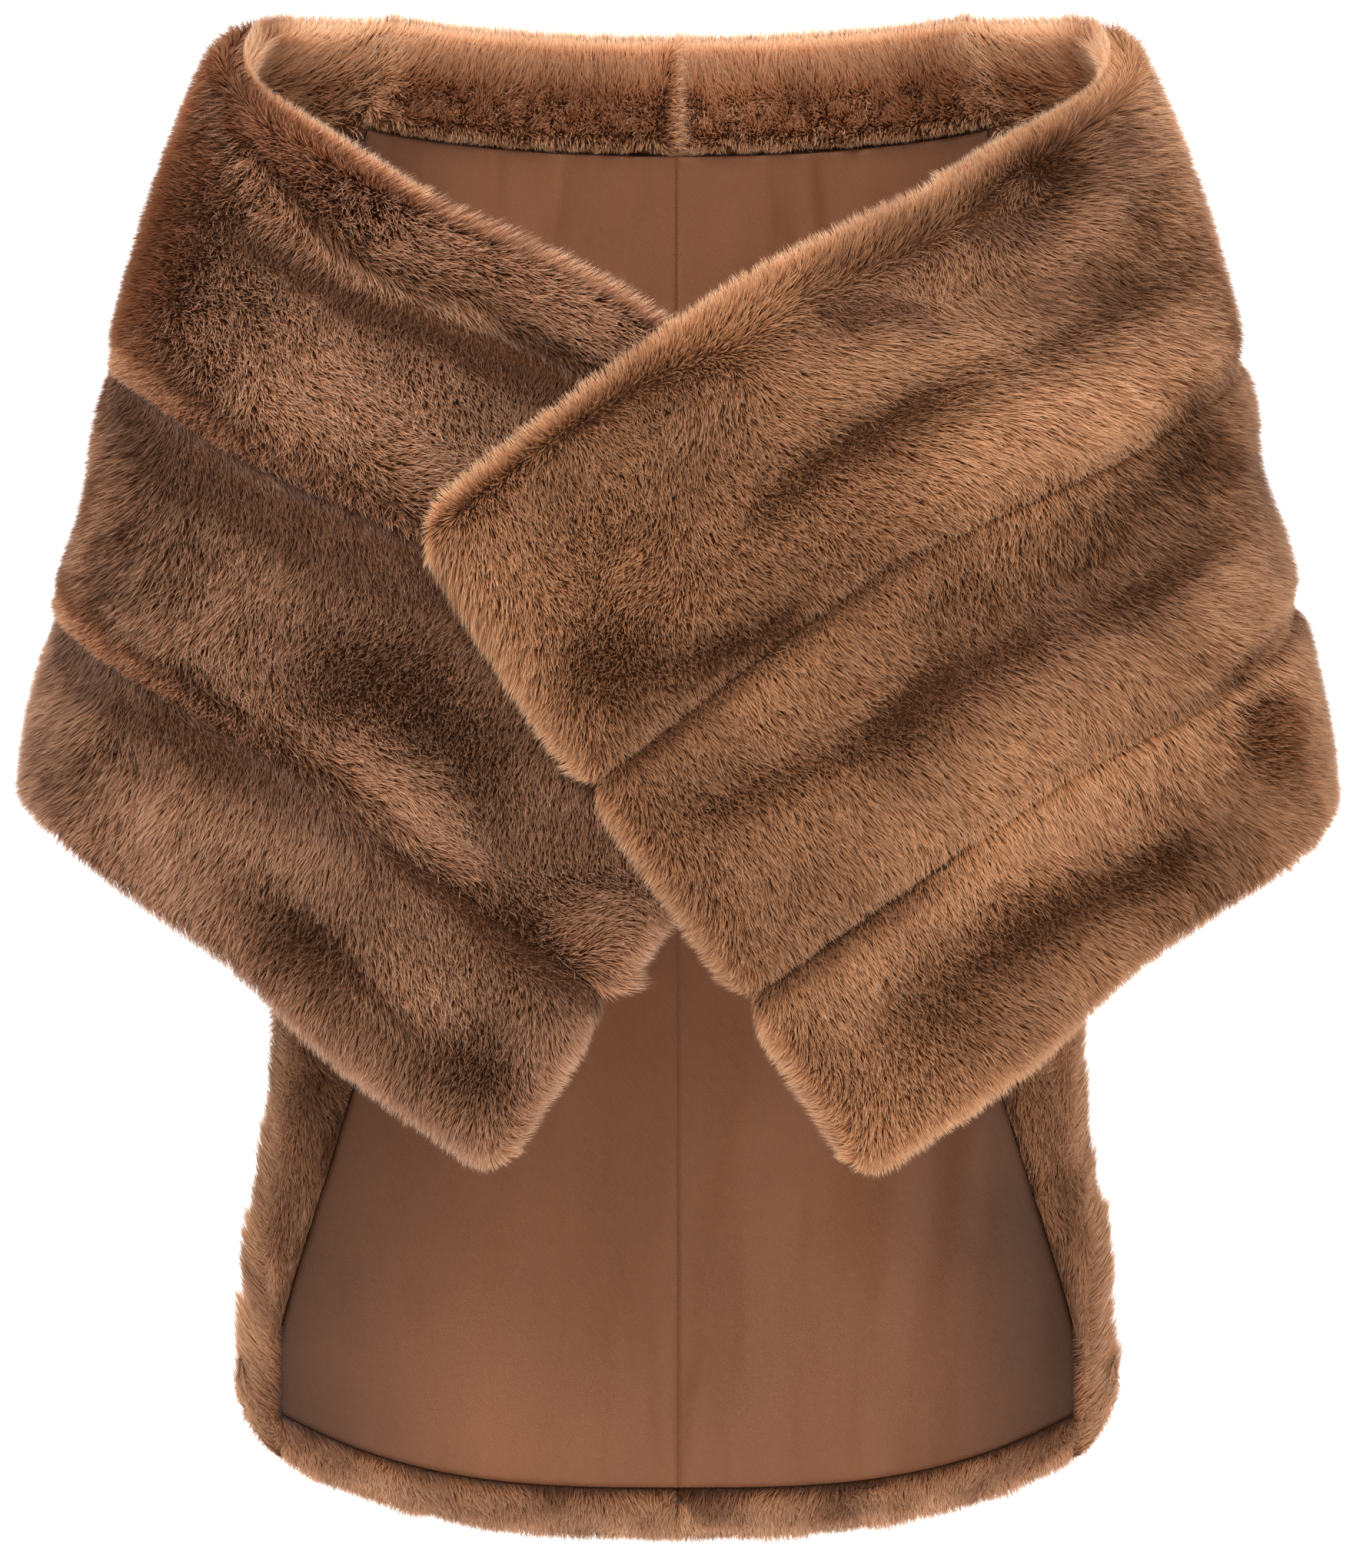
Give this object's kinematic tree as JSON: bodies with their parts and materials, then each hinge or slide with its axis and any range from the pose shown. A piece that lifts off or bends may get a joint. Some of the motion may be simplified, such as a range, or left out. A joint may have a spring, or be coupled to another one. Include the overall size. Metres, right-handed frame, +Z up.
{
  "type": "fur collar wrap",
  "caption": "Hollow worn fur wrap: front bands of joined pelt strips cross below an open neck, over a long back tail lined with satin.",
  "frame": {"origin": "midpoint between the wearer's shoulders, at the level where the wrap rests on them", "axes": "+Z up, -Y towards the wearer's front, +X towards the wearer's left"},
  "size_m": [0.6015, 0.2991, 0.7133],
  "materials": {
    "outer_fur": "dense sheared brown fur with paler tips and dark roots",
    "facing_fur": "the same brown fur, turned to the inside",
    "lining_satin": "smooth brown satin with a soft sheen"
  },
  "bodies": {
    "root": {"left_neck_strip": "outer_fur", "left_middle_strip": "outer_fur", "left_hem_strip": "outer_fur", "right_neck_strip": "outer_fur", "right_middle_strip": "outer_fur", "right_hem_strip": "outer_fur", "back_left": "outer_fur", "back_right": "outer_fur", "left_neck_facing": "facing_fur", "right_neck_facing": "facing_fur", "back_neck_facing_left": "facing_fur", "back_neck_facing_right": "facing_fur", "tail_facing_left": "facing_fur", "tail_facing_right": "facing_fur", "hem_facing_left": "facing_fur", "hem_facing_right": "facing_fur", "lining_left": "lining_satin", "lining_right": "lining_satin"}
  },
  "joints": []
}
